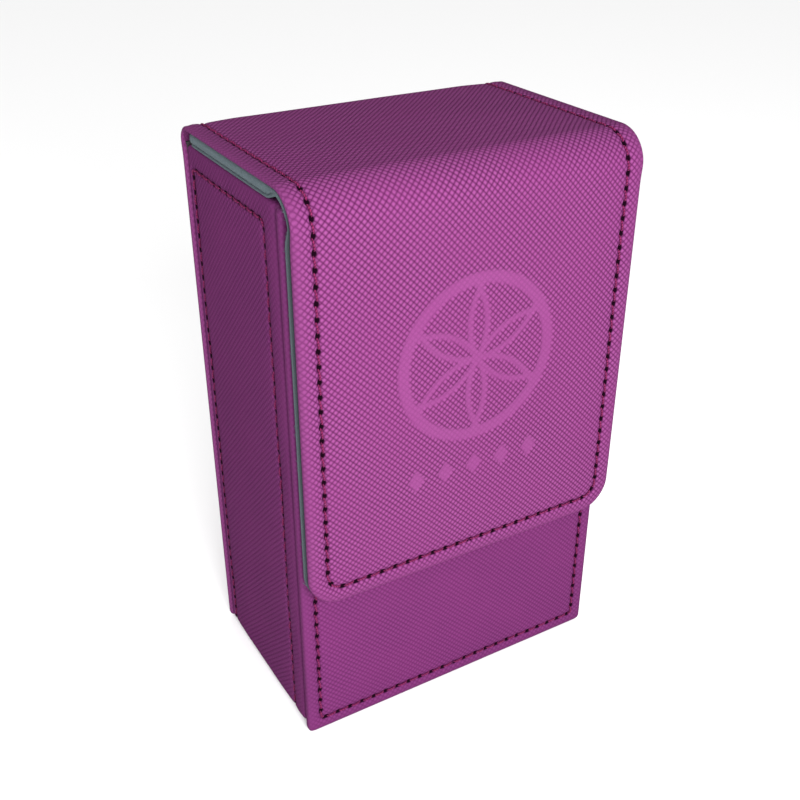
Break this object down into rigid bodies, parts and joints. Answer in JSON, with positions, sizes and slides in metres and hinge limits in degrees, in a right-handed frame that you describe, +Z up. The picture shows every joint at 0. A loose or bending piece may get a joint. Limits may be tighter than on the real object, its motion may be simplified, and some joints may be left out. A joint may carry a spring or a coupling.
{
  "type": "card deck box",
  "caption": "Upright leatherette box for a deck of large cards, with a hinged lid and a long magnetic front flap, sewn over board panels and lined with microfibre.",
  "frame": {"origin": "centre of the footprint, on the surface the box stands on", "axes": "+Z up, front and flap towards -Y, +X to the right seen from the front"},
  "size_m": [0.084, 0.057, 0.1387],
  "materials": {
    "leatherette": "satin",
    "microfibre": "matte",
    "greyboard": "matte",
    "thread": "satin",
    "magnet": "satin"
  },
  "bodies": {
    "box": {"rear_leather": "leatherette", "rear_board": "greyboard", "rear_lining": "microfibre", "rear_stitching": "thread", "gusset_leather": "leatherette", "left_board": "greyboard", "right_board": "greyboard", "bottom_board": "greyboard", "left_lining": "microfibre", "right_lining": "microfibre", "bottom_lining": "microfibre", "left_stitching": "thread", "right_stitching": "thread", "bottom_stitching": "thread", "front_leather": "leatherette", "front_board": "greyboard", "front_lining": "microfibre", "front_stitching": "thread", "front_magnet_left": "magnet", "front_magnet_right": "magnet", "rear_fold_leather": "leatherette", "rear_fold_lining": "microfibre"},
    "lid": {"lid_leather": "leatherette", "lid_board": "greyboard", "lid_lining": "microfibre", "lid_stitching": "thread", "front_fold_leather": "leatherette", "front_fold_lining": "microfibre"},
    "flap": {"flap_leather": "leatherette", "flap_board": "greyboard", "flap_lining": "microfibre", "flap_stitching": "thread", "flap_magnet_left": "magnet", "flap_magnet_right": "magnet"}
  },
  "joints": [
    {"name": "lid_hinge", "type": "hinge", "parent": "box", "child": "lid", "pos_m": [0, 0.02764, 0.13784], "axis": [-1, 0, 0], "range_deg": [0, 175], "deforming": ["rear_fold_leather", "rear_fold_lining"]},
    {"name": "flap_fold", "type": "hinge", "parent": "lid", "child": "flap", "pos_m": [0, -0.02678, 0.13698], "axis": [-1, 0, 0], "range_deg": [0, 90], "deforming": ["front_fold_leather", "front_fold_lining"]}
  ]
}
